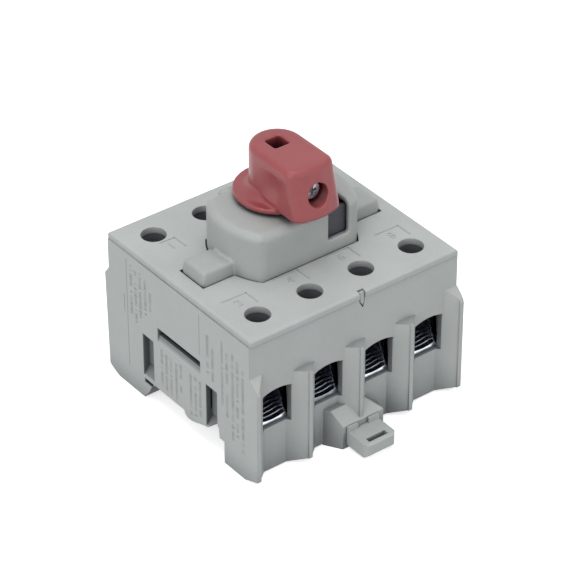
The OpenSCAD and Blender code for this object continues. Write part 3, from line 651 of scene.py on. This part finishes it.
def add_number(mesh, text, centre, height, low, high):
    """Adds a plain number, lying on the face."""
    curve = bpy.data.curves.new("number", "FONT")
    curve.body = text
    curve.size = height
    curve.align_x = "CENTER"
    curve.align_y = "CENTER"
    curve.extrude = (high - low) / 2
    letter = bpy.data.objects.new("number", curve)
    scene.collection.objects.link(letter)
    flat = bpy.data.meshes.new_from_object(letter.evaluated_get(bpy.context.evaluated_depsgraph_get()))
    flat.transform(Matrix.Translation((centre[0], centre[1], (low + high) / 2)))
    mesh.from_mesh(flat)
    bpy.data.meshes.remove(flat)
    bpy.data.objects.remove(letter)
    bpy.data.curves.remove(curve)


marks = bmesh.new()
mark_low = cover_face - 0.02 * MM
mark_high = cover_face + mark_height
number_height = 4.0 * MM
# the corner points of each line mark are measured from the middle of its pole
for p in range(1, poles + 1):
    x = pole_x(p)
    front = [(x - 4.4 * MM, -13.4 * MM), (x + 3.3 * MM, -13.6 * MM), (x + 3.4 * MM, -18.6 * MM)]
    rear = [(x - 1.0 * MM, 18.9 * MM), (x + 3.5 * MM, 18.7 * MM), (x + 3.7 * MM, 13.7 * MM)]
    for corner in (front, rear):
        for start, end in zip(corner, corner[1:]):
            add_bar(marks, start, end, line_width, mark_low, mark_high)
    add_number(marks, str(2 * p), (x - 1.0 * MM, -16.3 * MM), number_height, mark_low, mark_high)
    add_number(marks, str(2 * p - 1), (x + 0.6 * MM, 15.8 * MM), number_height, mark_low, mark_high)
new_piece("cover_marks", marks, grey_polyamide, "housing")


# Print on the left end wall
# The end wall is pad printed in a grey ink a shade darker than the plastic: three fine rules, and rows
# of small type that are drawn as plain bars of mixed length.
def printed_ink(name, light, deep):
    """A thin matt ink: patchy where the pad left less of it."""
    made, tree = empty_material(name)
    coords = add_node(tree, "ShaderNodeTexCoord")
    patch = add_node(tree, "ShaderNodeTexNoise", {"Scale": 1 / (0.7 * MM), "Detail": 2.0},
                     {"Vector": coords.outputs["Object"]})
    ramp = add_node(tree, "ShaderNodeValToRGB", links={"Fac": patch.outputs["Fac"]})
    ramp.color_ramp.elements[0].position = 0.35
    ramp.color_ramp.elements[0].color = linear(deep)
    ramp.color_ramp.elements[1].position = 0.65
    ramp.color_ramp.elements[1].color = linear(light)
    surface = add_node(tree, "ShaderNodeBsdfPrincipled", {"Roughness": 0.6, "IOR": 1.5},
                       {"Base Color": ramp.outputs["Color"]})
    add_node(tree, "ShaderNodeOutputMaterial", links={"Surface": surface.outputs[0]})
    return made


wall_ink = printed_ink("grey_pad_print_ink", "#989c9a", "#858987")
wall_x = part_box("base_housing")[0].x
ink_height = 0.012 * MM
letter_step_mm = 0.78
letter_share = 0.83


def type_rows(name, rows):
    """Rows of small type: each row is a run of bars whose lengths and gaps vary, by Geometry Nodes."""
    tree = bpy.data.node_groups.new(name, "GeometryNodeTree")
    tree.interface.new_socket("Geometry", in_out="OUTPUT", socket_type="NodeSocketGeometry")
    for label, value in (("Bar length", 0.62 * MM), ("Bar height", 1.35 * MM), ("Ink height", ink_height),
                         ("Step", letter_step_mm * MM)):
        socket = tree.interface.new_socket(label, in_out="INPUT", socket_type="NodeSocketFloat")
        socket.default_value = value
    seed = tree.interface.new_socket("Seed", in_out="INPUT", socket_type="NodeSocketInt")
    seed.default_value = 7
    given = add_node(tree, "NodeGroupInput")
    joined = add_node(tree, "GeometryNodeJoinGeometry")
    bar_size = add_node(tree, "ShaderNodeCombineXYZ", links={"X": given.outputs["Ink height"],
                                                             "Y": given.outputs["Bar height"],
                                                             "Z": given.outputs["Bar length"]})
    bar = add_node(tree, "GeometryNodeMeshCube", links={"Size": bar_size.outputs["Vector"]})
    for index, (y, z_top, z_low) in enumerate(rows):
        count = round((z_top - z_low) / letter_step_mm)
        row_seed = add_node(tree, "ShaderNodeMath", {"operation": "ADD"})
        tree.links.new(given.outputs["Seed"], row_seed.inputs[0])
        row_seed.inputs[1].default_value = index
        step = add_node(tree, "ShaderNodeMath", {"operation": "MULTIPLY"})
        tree.links.new(given.outputs["Step"], step.inputs[0])
        step.inputs[1].default_value = -1.0
        offset = add_node(tree, "ShaderNodeCombineXYZ", links={"Z": step.outputs[0]})
        line = add_node(tree, "GeometryNodeMeshLine", {"Count": count},
                        {"Offset": offset.outputs["Vector"]})
        line.inputs["Start Location"].default_value = (wall_x - ink_height / 2, y * MM, z_top * MM)
        kept = add_node(tree, "FunctionNodeRandomValue", {"data_type": "BOOLEAN"},
                        {"Seed": row_seed.outputs[0]})
        kept.inputs["Probability"].default_value = letter_share
        long_or_short = add_node(tree, "FunctionNodeRandomValue", {"data_type": "FLOAT_VECTOR"},
                                 {"Seed": row_seed.outputs[0]})
        long_or_short.inputs[0].default_value = (1.0, 0.55, 0.3)
        long_or_short.inputs[1].default_value = (1.0, 1.0, 1.0)
        row = add_node(tree, "GeometryNodeInstanceOnPoints",
                       links={"Points": line.outputs["Mesh"], "Instance": bar.outputs["Mesh"],
                              "Selection": kept.outputs[3], "Scale": long_or_short.outputs[0]})
        tree.links.new(row.outputs["Instances"], joined.inputs["Geometry"])
    real = add_node(tree, "GeometryNodeRealizeInstances", links={"Geometry": joined.outputs["Geometry"]})
    inked = add_node(tree, "GeometryNodeSetMaterial", {"Material": wall_ink},
                     {"Geometry": real.outputs["Geometry"]})
    add_node(tree, "NodeGroupOutput", links={"Geometry": inked.outputs["Geometry"]})
    return tree


def grown(name, tree, material, body):
    """Runs a Geometry Nodes tree and keeps its result as a plain mesh that rides on a body."""
    seed_mesh = bpy.data.meshes.new(name + "_seed")
    host = bpy.data.objects.new(name, seed_mesh)
    scene.collection.objects.link(host)
    host.modifiers.new("grow", "NODES").node_group = tree
    data = bpy.data.meshes.new_from_object(host.evaluated_get(bpy.context.evaluated_depsgraph_get()))
    bpy.data.objects.remove(host)
    bpy.data.meshes.remove(seed_mesh)
    data.materials.clear()
    data.materials.append(material)
    made = bpy.data.objects.new(name, data)
    scene.collection.objects.link(made)
    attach(made, body)
    return made


# each row's Y, its upper end and its lower end in Z, in mm
print_rows = [(21.2, 34.5, 18), (19.1, 33.5, 16), (17.0, 34, 19), (14.6, 33, 21), (12.4, 30, 24),
              (7.6, 14, 2), (5.5, 14, 1.5), (3.4, 13.5, 1), (1.0, 14, 1), (-1.1, 14, 1.5),
              (-5.6, 14, 0), (-7.7, 14, 1), (-9.8, 13.5, 2), (-13.4, 31, 18), (-15.6, 28, 17),
              (-19.8, 33, 12), (-21.9, 30, 9), (-24.4, 31, 3), (-26.5, 30, 5), (-28.8, 29, 1)]
grown("wall_type_rows", type_rows("wall_type_rows", print_rows), wall_ink, "housing")
rule_lines = [(23.2, 35.6, 0.1), (24.6, 23.5, 17.6), (-9.8, 35.8, 22.9)]
rule_width_mm = 0.25
rules = bmesh.new()
for y, z_top, z_low in rule_lines:
    corners = bmesh.ops.create_cube(rules, size=1.0)["verts"]
    for vertex in corners:
        vertex.co = Vector((wall_x - ink_height / 2 + vertex.co.x * ink_height,
                            (y + vertex.co.y * rule_width_mm) * MM,
                            ((z_top + z_low) / 2 + vertex.co.z * (z_top - z_low)) * MM))
new_piece("wall_rules", rules, wall_ink, "housing")
